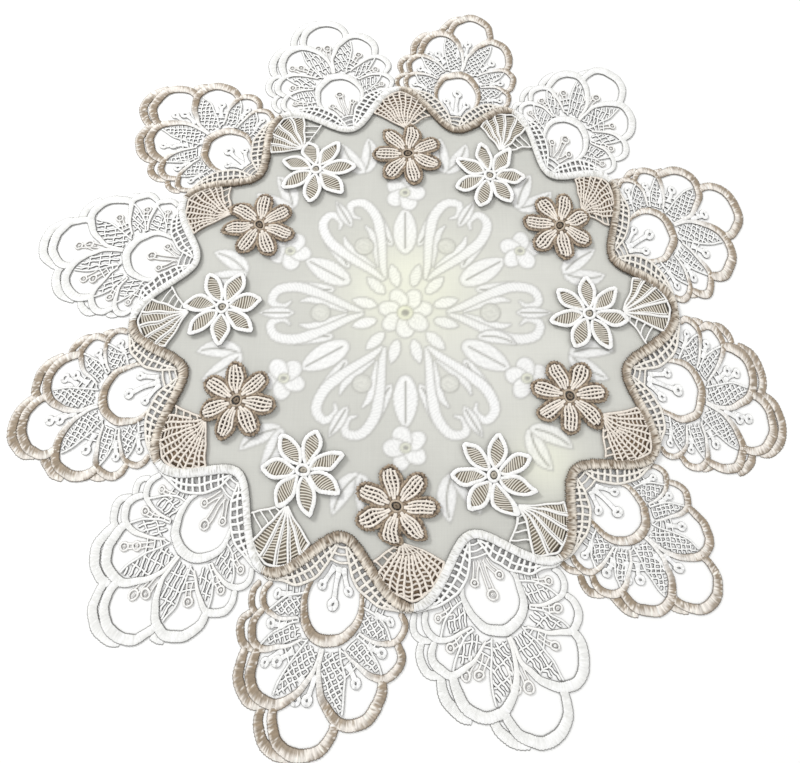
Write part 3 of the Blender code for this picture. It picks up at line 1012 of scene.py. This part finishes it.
def satin_loops(lace, z, height, tints, painted_shading, mottle, shift):
    """The satin loops along the edge.  With a shift it is the under row,
    stepped sideways and drawn where it shows past the front one."""
    under = shift is not None
    rows_of = [("large", large_rows(), 0)]
    for side in (-1, 1):
        rows_of.append(("medium", mirrored(MEDIUM, side), side))
        rows_of.append(("small", mirrored(SMALL, side), side))
        rows_of.append(("tiny", mirrored(TINY, side), side))
    lift = {"large": 0.0, "medium": 0.03, "small": 0.06, "tiny": 0.09}
    slim = {"large": 1.0, "medium": 1.0, "small": 0.9, "tiny": 0.85}
    for kind, rows, side in rows_of:
        # left of the line is the outer side of a loop on the left
        flip = tints if side <= 0 else (tints[0], tints[3], tints[2], tints[1])
        # tone is the painted shading of the loop: its lit and shaded thread tones and its outer side
        tone = (*painted_shading, -1 if side <= 0 else 1)
        if not under:
            fade = None
            if kind != "large":
                start = {"medium": 0.60, "small": 0.50, "tiny": 0.50}[kind]
                fade = (WHITE, (0, start, start + 0.22, 1), (0, 0, 0.9, 1))
            lace.band(rows, height * slim[kind], flip, z + lift[kind], 0.56,
                      fade=fade, painted_shading=tone, mottle=mottle)
            continue
        dense, _ = spline(rows, 0.8)
        dense[:, :2] += shift
        shows = np.ones(len(dense), bool)
        for centre, radius in FRONT:
            shows &= np.hypot(*(dense[:, :2] - centre).T) > radius - 1.6
        start = None
        for k, on in enumerate(np.append(shows, False)):
            if on and start is None:
                start = k
            elif not on and start is not None:
                if k - start > 4:
                    lace.band(dense[start:k:2] if k - start > 8 else dense[start:k],
                              height * slim[kind], flip, z + lift[kind], 0.6,
                              painted_shading=tone, mottle=mottle)
                start = None


def scallop(angle_deg):
    taupe = angle_deg in TAUPE_SCALLOPS
    lace = Lace(1000 + angle_deg, angle_deg=angle_deg)
    turned = 1 if angle_deg == TURNED_SCALLOP else -1
    turn = radians(angle_deg) - pi / 2
    shift = np.array(
        [UNDER_SHIFT * turned * cos(-turn), UNDER_SHIFT * turned * sin(-turn)]
    )
    # Each band's outline tint is painted shade on its sides, its left and right tints a painted
    # highlight and painted shade, and the two tones below a lit and a shaded tone of the thread,
    # painted by which way a band faces.
    if taupe:
        band = (TAUPE_SIDE_SHADE, CREAM, TAUPE, TAUPE_DARK)
        painted_shading = (rgb(246, 239, 230), rgb(152, 135, 113))
        sets = {
            1: ((43, 2.4, 0.66), (-47, 2.4, 0.66)),
            2: ((35, 2.35, 0.64), (-55, 2.35, 0.64)),
            3: ((48, 2.35, 0.64), (-42, 2.35, 0.64)),
        }
    else:
        band = (GREY_SIDE_SHADE, SNOW, WHITE, WHITE * 0.97)
        painted_shading = (SNOW, rgb(238, 238, 235))
        sets = {
            1: ((-72, 2.6, 0.8), (14, 5.4, 0.6)),
            2: ((58, 2.5, 0.76), (-20, 4.8, 0.58)),
            3: ((78, 2.5, 0.76), (5, 4.8, 0.58)),
        }
    mottle = 0.09 if taupe else 0.03
    satin_loops(lace, UNDER_Z, 0.34, band, painted_shading, mottle, shift)
    satin_loops(lace, LACE_Z, 0.46, band, painted_shading, mottle, None)

    # picots
    # the picots' line colour is painted shade on their sides
    picot_side_shade = GREY_SIDE_SHADE if taupe else rgb(120, 110, 96)
    picot_colour = SNOW if taupe else WHITE
    heads = [((0.0, 168.0), (0.0, 176.6), 2.7)]
    for side in (-1, 1):
        heads += [
            ((12.4 * side, 160.6), (18.0 * side, 166.2), 2.5),
            ((19.6 * side, 152.0), (26.0 * side, 153.0), 2.3),
            ((20.0 * side, 140.2), (26.8 * side, 141.4), 2.1),
        ]
    toward = np.sign(shift[0])
    for base, head, radius in heads:
        lace.picot(base, head, radius, LACE_Z, picot_colour, picot_side_shade, not taupe)
        if head[0] * toward >= 0.0 and head[1] > 160.0:
            under_base, under_head = np.array(base) + shift * 0.9, np.array(head) + shift
            lace.picot(under_base, under_head, radius * 0.95, UNDER_Z + 0.12,
                       picot_colour, picot_side_shade, not taupe)
    lace.picot((0.0, 124.8), (0.0, 140.0), 2.8, LACE_Z + 0.1, picot_colour,
               picot_side_shade, not taupe)
    for side in (-1, 1):
        lace.picot((1.9 * side, 125.0), (6.2 * side, 133.2), 2.3, LACE_Z + 0.05,
                   picot_colour, picot_side_shade, not taupe)

    # ring of satin round the arched hole
    turn_deg = np.linspace(-118, 118, 25)
    half = np.interp(np.abs(turn_deg), [0, 50, 90, 118], [2.5, 2.1, 1.5, 0.9])
    points = arc(RING_CENTRE, 13.3, 14.4, -118, 118, 25)
    lace.band(np.column_stack([points, half]), 0.5, band, LACE_Z + 0.08, 0.56,
              painted_shading=(*painted_shading, -1), mottle=mottle)

    # leaves of net with their cords
    for side in (-1, 1):
        for index, polygon, cord in (
            (1, LEAF_1, LEAF_1_CORD), (2, LEAF_2, LEAF_2_CORD), (3, LEAF_3, LEAF_3_CORD),
        ):
            slant = [
                (h if side > 0 or index == 1 else 180 - h, pitch, radius)
                for h, pitch, radius in sets[index]
            ]
            lace.net(mirrored(polygon, side), slant, NET_Z, SNOW, NET_SIDE_SHADE, 0.26)
            lace.cord(mirrored(cord, side), 0.62, NET_Z + 0.12, SNOW, GREY_SIDE_SHADE)
        for a, b in EYELETS:
            lace.thread(mirrored([a, b], side), 0.62, NET_Z + 0.05, SNOW, NET_SIDE_SHADE, 1.0,
                        NET_SECTION)

    # ladder between the braid and the lace, and the neck of the arched hole; the dark outline of its
    # threads is painted shade, darkening the ladder's holes under the braid
    outline = rgb(58, 50, 43)
    ladder = rgb(248, 243, 234) if taupe else SNOW
    for side in (-1, 1):
        lace.cord(mirrored(LADDER_CORD, side), 0.8, LACE_Z + 0.4, ladder, outline, 0.7)
        upper, _ = spline(LADDER_CORD, 3.3)
        middle_row = []
        for point in upper[1:-1]:
            bearing = np.arctan2(point[0], point[1])
            best = min(
                (braid_point(bearing + d, 1.6) for d in np.radians(np.linspace(-5, 5, 21))),
                key=lambda q: float(np.hypot(*(q - point))),
            )
            centre = best * 0.52 + point * 0.48
            middle_row.append(centre)
            lace.thread(
                mirrored([point, centre, best], side), 0.84,
                [LACE_Z + 0.45, LACE_Z + 0.6, LACE_Z + 0.9], ladder, outline, 1.3,
            )
        if len(middle_row) > 3:
            lace.cord(mirrored(middle_row, side), 0.76, LACE_Z + 0.6, ladder, outline, 1.2)
    for y, half in ((116.8, 2.6), (119.6, 3.1), (122.6, 4.0)):
        lace.cord([(-half, y), (0, y + 0.4), (half, y)], 0.6, LACE_Z + 0.45, ladder, outline)

    # braid: painted shade along its inner edge, dark flecks of painted shade for its pin holes, and
    # a dark outline of painted shade on its sides
    end = radians(15.15)
    turns = np.linspace(-end, end, 31)
    half = 2.55 if taupe else 2.3
    rows = [(*braid_point(t), half if abs(t) < radians(14) else 1.95) for t in turns]
    braid_painted_shading = (
        (rgb(232, 223, 209), rgb(124, 106, 84), -1, 0.42) if taupe
        else (SNOW, rgb(228, 227, 221), -1, 0.3)
    )
    braid = (rgb(84, 70, 54), CREAM, TAUPE, TAUPE_DARK) if taupe else band
    lace.band(rows, 1.1, braid, BRAID_Z, 0.5, bend=False, serrate=0.14 if taupe else 0.06,
              painted_shading=braid_painted_shading, mottle=mottle * 1.2)
    name = "scallop_%03d" % (angle_deg % 360)
    piece = lace.build(
        name + "_lace",
        taupe_finish if taupe else white_finish,
        (0.0, 0.0),
    )
    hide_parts(name)
    return piece


# ------------------------------------------------------------------ blossom
PETAL_SIDE = [(3.0, 0.9), (5.8, 2.9), (9.2, 4.4), (12.4, 4.9), (15.6, 4.1), (18.2, 2.5), (20.0, 0.4)]
# A taupe petal is broader, and laps over the next one.
BROAD_SIDE = [(2.4, 1.2), (5.0, 2.9), (8.0, 4.2), (11.4, 4.9), (14.4, 4.8), (16.8, 3.8), (18.5, 1.6)]
# How far a fan reaches from its foot, by angle from its axis.
FAN_REACH = ((0.0, 27.0, 54.0, 62.0), (26.6, 23.6, 19.6, 18.6))


def petal_rows(centre, out, across, sides, share):
    rows = []
    for r, half in sides:
        middle = centre + out * r
        rows.append((*(middle - across * half * share), *(middle + across * half * share)))
    return spline(np.array(rows), 1.1)[0]


def taupe_petal(lace, centre, heading_deg, z):
    """Cream ribs along a petal over a patch of painted shade that makes the dark slots between them,
    in a brown edge darkened on one side by painted shade.
    """
    a = radians(heading_deg)
    out, across = np.array((cos(a), sin(a))), np.array((-sin(a), cos(a)))
    lace.patch(petal_rows(centre, out, across, BROAD_SIDE, 0.94), z, 0.25,
               SHADE_BROWN, SHADE_BROWN)
    points = [centre + out * r + across * max(h - 0.6, 0.2) for r, h in BROAD_SIDE]
    points += [centre + out * r - across * max(h - 0.6, 0.2) for r, h in reversed(BROAD_SIDE)]
    tone = TAUPE * 0.9
    lace.band([(*p, 0.95) for p in points], 0.62, (SHADE_BROWN, tone, BROWN * 1.5, tone),
              z + 0.2, 0.62, serrate=0.3, mottle=0.16,
              painted_shading=(rgb(170, 152, 130), rgb(92, 74, 56), -1, 0.35))
    for share, start, end in ((-0.7, 5.0, 16.4), (-0.23, 3.4, 17.4), (0.23, 3.4, 17.4),
                              (0.7, 5.0, 16.4)):
        line = []
        for f in (0.0, 0.25, 0.5, 0.75, 1.0):
            r = start + (end - start) * f
            half = float(np.interp(r, *zip(*BROAD_SIDE))) - 0.75
            line.append(centre + out * r + across * max(half, 0.5) * share)
        lace.cord(line, 0.68, z + 0.48, CREAM, SHADE_BROWN * 1.4, 0.62)
    for k in range(6):
        r = 6.2 + k * 2.0
        half = float(np.interp(r, *zip(*BROAD_SIDE))) - 1.0
        lace.thread(
            [centre + out * r - across * half, centre + out * (r + 0.9) + across * half],
            0.46, z + 0.40, CREAM * 0.9, BROWN, 1.3,
        )


def white_petal(lace, centre, heading_deg, z):
    """Thread laid on the slant in a firm white outline."""
    a = radians(heading_deg)
    out, across = np.array((cos(a), sin(a))), np.array((-sin(a), cos(a)))
    # the patch under the slanted threads is taupe fill, with painted shade where it shows between
    # them
    lace.patch(petal_rows(centre, out, across, PETAL_SIDE, 0.9), z, 0.25, HUSK_DARK, HUSK_DARK)
    side = [
        (r, max(float(np.interp(r, *zip(*PETAL_SIDE))) - 0.95, 0.2), half)
        for r, half in ((3.4, 0.8), (5.6, 0.95), (8.8, 1.05), (12.2, 1.1), (15.4, 1.15), (17.8, 1.2))
    ]
    rim = [(*(centre + out * r + across * h), half) for r, h, half in side]
    rim += [(*(centre + out * 19.6), 1.3)]
    rim += [(*(centre + out * r - across * h), half) for r, h, half in reversed(side)]
    lace.band(rim, 0.62, (GREY_SIDE_SHADE, SNOW, WHITE, WHITE * 0.97), z + 0.22, 0.7, serrate=0.1)
    for k in range(10):
        r = 5.2 + k * 1.25
        half = float(np.interp(r, *zip(*PETAL_SIDE))) - 1.6
        if half > 0.5:
            lace.thread(
                [centre + out * (r - 1.2) - across * half,
                 centre + out * (r + 1.2) + across * half],
                0.42, z + 0.3, rgb(229, 223, 210), rgb(112, 102, 84), 1.5,
            )


def fan(lace, taupe):
    """The fan of thread from a blossom out to the braid: close ribs with
    rows of pin holes in a taupe one, slanted satin windows in a white one,
    and open bars on its right."""
    foot = np.array((0.0, FAN_FOOT_R))

    def place(turn_deg, reach):
        a = radians(turn_deg)
        return foot + np.array((sin(a), cos(a))) * reach

    def reach_of(turn_deg):
        return float(np.interp(abs(turn_deg), *FAN_REACH))

    first, last, count = (-55, 45, 12) if taupe else (-60, 26, 6)
    rib, rib_side_shade = (CREAM * 0.98, BROWN) if taupe else (WHITE, rgb(96, 88, 74))
    # the base patch under the ribs is taupe fill, with painted shade where it shows between the ribs
    # as pin holes and windows; the rib line colour is painted shade on the ribs' sides
    base = rgb(122, 102, 80) if taupe else HUSK_DARK * 0.9
    rows = [
        (*place(turn_deg, 0.5), *place(turn_deg, reach_of(turn_deg)))
        for turn_deg in np.linspace(first, last, 18)
    ]
    lace.patch(np.array(rows), FAN_Z, 0.2, base, base)
    spread = np.linspace(first, last, count)
    for k, turn_deg in enumerate(spread):
        end = reach_of(turn_deg) - 0.2
        near = 8.0 if taupe and k % 2 else 0.8
        middle = place(turn_deg + 1.0, (near + end) / 2)
        lace.cord([place(turn_deg, near), middle, place(turn_deg, end)],
                  0.68 if taupe else 0.74, FAN_Z + 0.42, rib, rib_side_shade, 0.7)
    if taupe:
        for step in range(10):
            reach = 5.0 + step * 2.1
            inner = [
                place(turn_deg, reach + 0.5 * sin(turn_deg * 0.42))
                for turn_deg in np.arange(first, last + 1, 5)
                if reach < reach_of(turn_deg) - 0.6
            ]
            if len(inner) > 3:
                lace.cord(inner, 0.54, FAN_Z + 0.30, CREAM * 0.85, rib_side_shade, 1.3)
    else:
        for one, two in zip(spread, spread[1:]):
            for step in range(15):
                reach = 4.5 + step * 1.4
                if reach > reach_of((one + two) / 2) - 0.4:
                    break
                lace.thread(
                    [place(one + 1, reach - 0.9), place(two - 1, reach + 1.1)],
                    0.42, FAN_Z + 0.24, rgb(226, 219, 205), rgb(104, 94, 77), 1.5,
                )
        for one in spread[1:-1]:
            lace.cord([place(one - 3.5, 8.0), place(one - 3.0, reach_of(one) - 1.5)],
                      0.4, FAN_Z + 0.36, rib, rib_side_shade, 1.0)
    hem = [place(t, reach_of(t) - 0.5) for t in np.arange(first, last + 1, 5)]
    lace.cord(hem, 0.7, FAN_Z + 0.34, rib * 0.95, rib_side_shade, 1.2)
    edge = last + (15 if taupe else 30)
    for reach in (5.0, 9.0, 13.0, 17.0):
        lace.cord([place(last, reach), place(edge, reach + 1.2)], 0.55, FAN_Z + 0.25,
                  rib, rib_side_shade)
    lace.cord([place(edge, 2.0), place(edge, reach_of(edge))], 0.6, FAN_Z + 0.3, rib, rib_side_shade)


def blossom(angle_deg):
    taupe = angle_deg in TAUPE_BLOSSOMS
    lace = Lace(3000 + angle_deg, wobble=0.35, angle_deg=angle_deg)
    fan(lace, taupe)

    centre = np.array((0.0, FLOWER_R))
    for index in range(7):
        z = FLOWER_Z + (0.12 if index % 2 else 0.0)
        worked = taupe_petal if taupe else white_petal
        worked(lace, centre, 78 + 360 / 7 * index, z)
    # hub
    # hub, its small dark middle coil painted shade for the hole at its centre
    if taupe:
        lace.cord(arc(centre, 2.7, 2.7, 0, 324, 10), 0.62, FLOWER_Z + 0.7, TAUPE,
                  SHADE_BROWN, 0.8, closed=True)
        lace.cord(arc(centre, 1.0, 1.0, 0, 300, 6), 0.8, FLOWER_Z + 0.5, TAUPE_DARK * 0.7,
                  SHADE_BROWN, 0.8, closed=True)
    else:
        lace.cord(arc(centre, 1.0, 1.0, 0, 300, 6), 0.8, FLOWER_Z + 0.4, HUSK * 0.8,
                  HUSK_DARK, 0.8, closed=True)
        ring = [(*q, 0.9) for q in arc(centre, 2.7, 2.7, 0, 324, 10)]
        lace.band(ring, 0.6, (GREY_SIDE_SHADE, SNOW, WHITE, WHITE), FLOWER_Z + 0.6, 0.7,
                  closed=True, serrate=0.03)

    name = "blossom_%03d" % (angle_deg % 360)
    piece = lace.build(
        name + "_lace",
        taupe_finish if taupe else white_finish,
        NUDGES.get(angle_deg, (0.0, 0.0)),
    )
    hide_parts(name)
    return piece


# ------------------------------------------------------------------- ground
CELL = 0.79
CLOTH_TINT, WARM_TINT, PALE_TINT = rgb(212, 212, 205), rgb(243, 244, 226), rgb(230, 230, 222)
SEAM_TINT = rgb(176, 175, 168)


class Chart:
    """The woven figure, painted shape over shape on the cloth's points."""

    def __init__(self, points, tints):
        self.points, self.tints = points, tints
        self.cover = np.zeros(len(points))
        self.place = np.column_stack([points, np.zeros(len(points))])
        self.random = np.random.default_rng(77)

    def paint(self, near, gap, place, tint, seam=0.55):
        """gap is the distance outside the shape, below nought inside."""
        share = smooth_step(0.45, -0.45, gap)
        line = np.exp(-(((gap + 0.05) / 0.55) ** 2)) * seam
        old, cover = self.tints[near], self.cover[near]
        tone = np.asarray(tint) * (1 + self.random.normal(0, 0.012))
        mixed = old * (1 - share[:, None]) + tone * share[:, None]
        self.tints[near] = mixed * (1 - line[:, None]) + SEAM_TINT * line[:, None]
        self.cover[near] = np.maximum(cover, share) if cover.size else cover
        swap = share > 0.5
        self.place[near[swap], :2] = place[swap]
        self.place[near[swap], 2] = self.random.uniform(0, 10)

    def stroke(self, rows, tint=None, closed=False, step=1.3, seam=0.55, edge=0.06):
        """A ribbon along the rows: x, y, half width."""
        tint = SNOW if tint is None else tint
        line, along = spline(np.asarray(rows, float), step, closed)
        if closed:
            line = np.vstack([line, line[:1]])
            along = np.append(along, along[-1] + step)
        widest = line[:, 2].max() + 1.6
        low, high = line[:, :2].min(axis=0) - widest, line[:, :2].max(axis=0) + widest
        near = np.flatnonzero(((self.points > low) & (self.points < high)).all(axis=1))
        best = np.full(len(near), 1e9)
        place = np.zeros((len(near), 2))
        spots = self.points[near]
        phase = self.random.uniform(0, 6)
        for k in range(len(line) - 1):
            start, reach = line[k, :2], line[k + 1, :2] - line[k, :2]
            length = max(float(reach @ reach), 1e-9)
            close = np.flatnonzero(
                np.abs(spots - start).max(axis=1) < widest + np.sqrt(length)
            )
            part = spots[close] - start
            share = np.clip(part @ reach / length, 0, 1)
            away = part - share[:, None] * reach
            far = np.hypot(*away.T)
            half = line[k, 2] + share * (line[k + 1, 2] - line[k, 2])
            s = along[k] + share * (along[k + 1] - along[k])
            gap = far - half * (1 + edge * np.sin(s * 2.4 + phase))
            side = np.sign(reach[0] * part[:, 1] - reach[1] * part[:, 0])
            better = gap < best[close]
            best[close[better]] = gap[better]
            place[close[better]] = np.column_stack([s, far * side])[better]
        self.paint(near, best, place, tint, seam)

    def leaf(self, base, tip, width, bow=0.0, vein=True, tint=None, teeth=0.06):
        """A pointed leaf from base to tip, bowed to its left by bow mm."""
        base, tip = np.array(base, float), np.array(tip, float)
        along = tip - base
        left = np.array([-along[1], along[0]]) / np.linalg.norm(along)
        rows = [
            (*(base + along * f + left * bow * sin(pi * f)),
             max(width / 2 * sin(pi * f**0.85) ** 0.8, 0.1) if 0 < f < 1 else 0.1)
            for f in np.linspace(0, 1, 9)
        ]
        self.stroke(rows, tint, edge=teeth)
        if vein:
            self.slit([row[:2] for row in rows[1:-1]])

    def ring(self, x, y, rx, ry, half, start=0, end=360, tint=None):
        turns = np.radians(np.arange(start, end, 30 if end - start >= 360 else 24))
        rows = [(x + rx * cos(a), y + ry * sin(a), half) for a in turns]
        self.stroke(rows, tint, closed=end - start >= 360)

    def round(self, x, y, rx, ry, tint=None):
        """A round shape, longer along x when rx is over ry."""
        small, large = min(rx, ry), max(rx, ry)
        d = np.array([1.0, 0.0]) if rx >= ry else np.array([0.0, 1.0])
        reach = large - small + 0.3
        rows = [(x - d[0] * reach, y - d[1] * reach, small), (x, y, small * 1.04),
                (x + d[0] * reach, y + d[1] * reach, small)]
        self.stroke(rows, tint)

    def slit(self, rows, half=0.12, dark=0.75):
        """A line between two runs of the figure."""
        self.stroke([(*row, half) for row in rows], SEAM_TINT, seam=dark, edge=0.0)

    def bloom(self, x, y, radius, petals, start_deg, hub, tint=None):
        """A round-petalled flower."""
        for k in range(petals):
            a = radians(start_deg + 360 / petals * k)
            out = np.array((cos(a), sin(a)))
            core = np.array((x, y)) + out * radius * 0.55
            size = radius * min(0.50, 2.2 / petals)
            self.stroke([(*(core - out * size * 0.45), size * 0.85), (*core, size),
                         (*(core + out * size * 0.4), size * 0.8)], tint, edge=0.05)
        self.round(x, y, hub, hub, WARM_TINT)
        self.round(x, y, hub * 0.35, hub * 0.35, SEAM_TINT)


# Half of a lyre-shaped scroll and of the band inside it, from the middle of
# its sixth of the cloth: radius (mm), angle (degrees), half width (mm).
SCROLL = (
    (22, 2.0, 1.2), (32, 8.0, 2.4), (44, 13.0, 2.8), (56, 14.5, 2.8), (66, 11.0, 2.6),
    (68, 5.0, 2.2), (62, 3.2, 1.6), (58.5, 6.0, 0.8),
)
INNER_BAND = ((30, 1.5, 0.8), (40, 6.5, 1.6), (48, 8.5, 1.8), (53, 7.0, 0.8))


def figure(f):
    """A rosette, lyre-shaped scrolls, leaf sprays and small flowers, set
    round the middle by rule."""

    def at(radius, turn_deg):
        return radius * cos(radians(turn_deg)), radius * sin(radians(turn_deg))

    for turn in range(15, 360, 30):
        for side in (-1, 1):
            f.leaf(at(84, turn), at(106, turn + 4 * side), 9, 2 * side, teeth=0.10)
        f.leaf(at(15, turn), at(28, turn), 6, 0, False)
    for turn in range(0, 360, 60):
        f.leaf(at(33, turn + 30), at(60, turn + 30), 12, 0, teeth=0.10)
        for side in (-1, 1):
            f.leaf(at(38, turn + 30 + 10 * side), at(58, turn + 30 + 13 * side), 7, 2 * side,
                   teeth=0.05)
            for rows in (SCROLL, INNER_BAND):
                f.stroke([(*at(r, turn + side * a), half) for r, a, half in rows])
        f.round(*at(43, turn), 4.6, 4.6, PALE_TINT)
        f.leaf(at(56, turn), at(74, turn), 6, 0)
        f.bloom(*at(69, turn + 30), 10.5, 5, turn + 12, 2.6)
    f.bloom(0, 0, 15, 7, 12, 4.0)


def ground():
    """The sheer cloth with its woven figure, cut along the middle of the
    braid."""
    side = np.arange(-168, 169) * CELL
    across, up = np.meshgrid(side, side)
    flat = np.column_stack([across.ravel(), up.ravel()])
    radius, theta = np.hypot(*flat.T), np.arctan2(flat[:, 1], flat[:, 0])
    edge = (BRAID_TIP_R + BRAID_VALLEY_R) / 2 + (BRAID_TIP_R - BRAID_VALLEY_R) / 2 * np.cos(
        LOBES * theta
    )
    keep = (radius < edge + 0.5).reshape(across.shape)
    cells = keep[:-1, :-1] & keep[1:, :-1] & keep[:-1, 1:] & keep[1:, 1:]
    row, col = np.nonzero(cells)
    wide = across.shape[1]
    first = row * wide + col
    quads = np.column_stack([first, first + 1, first + wide + 1, first + wide])
    used, index = np.unique(quads, return_inverse=True)
    quads = index.reshape(-1, 4)
    flat = flat[used]
    x, y = flat.T
    glow = 1.15 * np.exp(-(((x - 2) / 34) ** 2 + ((y - 14) / 30) ** 2) * 1.2)
    glow += 0.8 * np.exp(-(((x - 66) / 16) ** 2 + ((y + 76) / 16) ** 2))
    lift = 0.85 * np.exp(-(((x - 45) / 60) ** 2 + ((y + 10) / 60) ** 2))
    glow, lift = glow.clip(0, 1)[:, None], lift.clip(0, 1)[:, None]
    tints = CLOTH_TINT * (1 - lift) + PALE_TINT * lift
    tints = tints * (1 - glow) + WARM_TINT * glow
    chart = Chart(flat, tints)
    figure(chart)
    warm = rgb(253, 254, 238) / SNOW
    chart.tints *= 1 - glow * 0.8 * chart.cover[:, None] * (1 - warm)
    placed = lie(flat)
    z = CLOTH_Z + 0.12 * chart.cover + 0.05 * (
        np.sin(x * 0.11 + 0.7) * np.sin(y * 0.09 + 1.1) + np.sin(x * 0.05 - y * 0.07)
    )
    piece = solid(
        "ground_cloth",
        np.column_stack([placed, z]),
        quads.ravel(),
        np.full(len(quads), 4),
        cloth_finish,
        chart.tints,
        chart.place,
        None,
        chart.cover,
    )
    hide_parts("ground")
    return piece


# -------------------------------------------------------------------- build
cloth = ground()
lace_pieces = [scallop(a) for a in WHITE_SCALLOPS + TAUPE_SCALLOPS]
lace_pieces += [blossom(a) for a in WHITE_BLOSSOMS + TAUPE_BLOSSOMS]

# ---------------------------------------------------------- table and light
floor_mesh = bpy.data.meshes.new("table_top")
size = 3.0
floor_mesh.from_pydata(
    [(-size, -size, 0.0), (size, -size, 0.0), (size, size, 0.0), (-size, size, 0.0)],
    [],
    [(0, 1, 2, 3)],
)
floor_nodes = Nodes("table_top")
grain = floor_nodes.noise(floor_nodes.attribute("position"), 60.0, 3.0)
floor_nodes.link(
    floor_nodes.mix(grain, rgb(250, 250, 249), rgb(252, 252, 251)),
    floor_nodes.shader.inputs["Base Color"],
)
floor_nodes.set(Roughness=0.9, Specular_IOR_Level=0.0)
floor_mesh.materials.append(floor_nodes.material)
table_top = bpy.data.objects.new("table_top", floor_mesh)
bpy.context.scene.collection.objects.link(table_top)

scene = bpy.context.scene
scene.view_settings.view_transform = "Standard"
world = bpy.data.worlds.new("studio")
world.use_nodes = True
world.node_tree.nodes["Background"].inputs[0].default_value = (1.0, 1.0, 1.0, 1.0)
world.node_tree.nodes["Background"].inputs[1].default_value = 0.70
scene.world = world


def lamp(name, place, aim, size, power):
    light = bpy.data.lights.new(name, "AREA")
    light.shape = "DISK"
    light.size = size
    light.energy = power
    holder = bpy.data.objects.new(name, light)
    holder.location = place
    holder.rotation_mode = "QUATERNION"
    holder.rotation_quaternion = (Vector(aim) - Vector(place)).to_track_quat("-Z", "Y")
    scene.collection.objects.link(holder)


lamp("key", (-0.95, 0.85, 0.95), (0, 0, 0), 0.45, 13.5)
lamp("fill", (0.9, -0.5, 1.3), (0, 0, 0), 1.2, 4.0)

camera = bpy.data.cameras.new("camera")
camera.sensor_width = 36.0
camera.lens = 28.58
camera.clip_start = 0.01
tilt = radians(73.9)
aim = Vector((-2.7 * MM, -36.0 * MM, 0.0))
back = Vector((0.0, -cos(tilt), sin(tilt)))
eye = bpy.data.objects.new("camera", camera)
eye.location = aim + back * 0.3115
eye.rotation_mode = "QUATERNION"
eye.rotation_quaternion = (-back).to_track_quat("-Z", "Y")
scene.collection.objects.link(eye)
scene.camera = eye

triangles = {
    p.name: sum(len(f.vertices) - 2 for f in p.data.polygons)
    for p in [cloth] + lace_pieces
}
print("triangles", sum(triangles.values()), "largest", max(triangles.values()))
bpy.context.view_layer.update()
